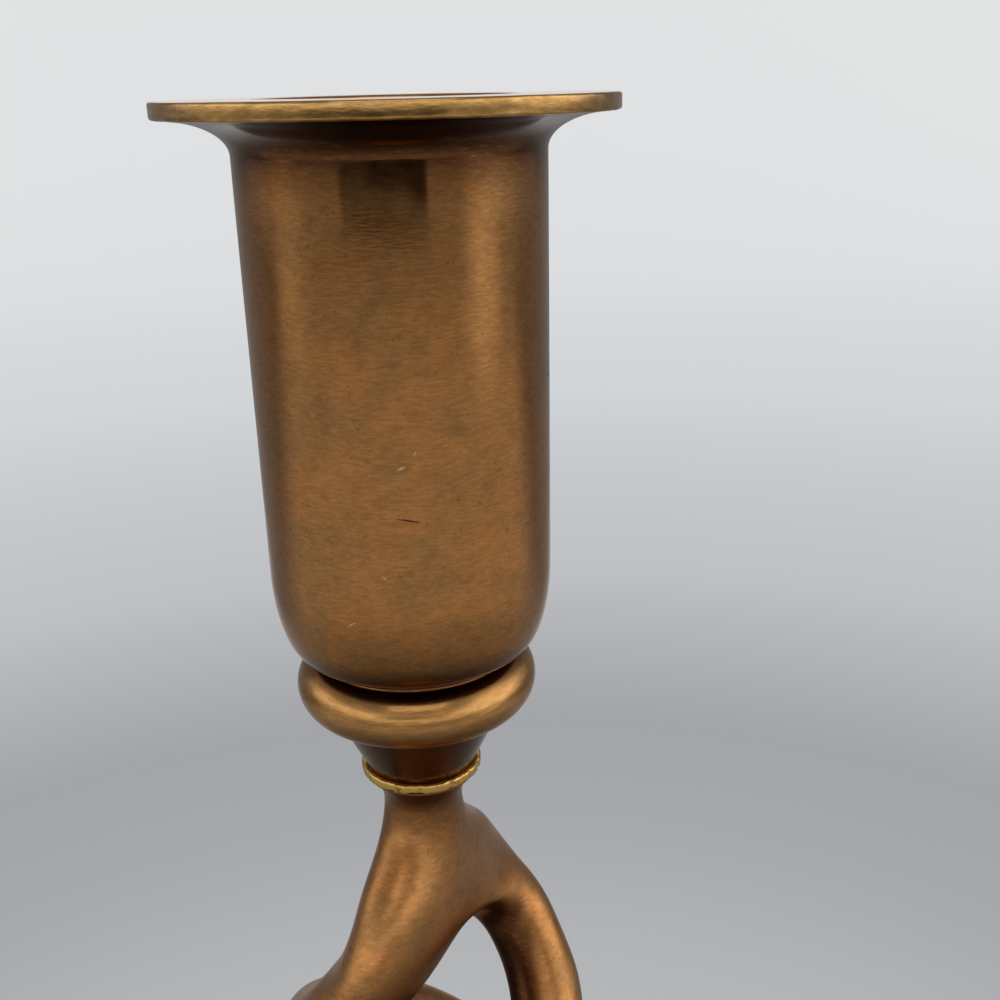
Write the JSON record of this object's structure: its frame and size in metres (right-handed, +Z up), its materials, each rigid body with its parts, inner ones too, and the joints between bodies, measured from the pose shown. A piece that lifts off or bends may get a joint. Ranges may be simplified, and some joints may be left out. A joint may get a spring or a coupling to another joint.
{
  "type": "spiral candle holder",
  "caption": "Candle holder: a flanged turned candle cup on an open column of two twisted strands, standing on a round bell foot.",
  "frame": {"origin": "on the table, under the middle of the foot", "axes": "+Z up along the axis of the cup, the column and the foot"},
  "size_m": [0.1, 0.1, 0.238],
  "materials": {
    "patinated_brass": "antique brown patina, satin",
    "bare_brass": "bare filed brass",
    "zinc_steel": "zinc plated",
    "green_felt": "felt"
  },
  "bodies": {
    "root": {"candle_cup": "patinated_brass", "cup_screw": "bare_brass", "upper_knop": "patinated_brass", "upper_seat_ring": "bare_brass", "twist_column": "patinated_brass", "lower_seat_ring": "bare_brass", "lower_knop": "patinated_brass", "bell_foot": "patinated_brass", "foot_stud": "zinc_steel", "foot_washer": "zinc_steel", "spring_washer": "zinc_steel", "foot_nut": "zinc_steel", "felt_pad": "green_felt"}
  },
  "joints": []
}
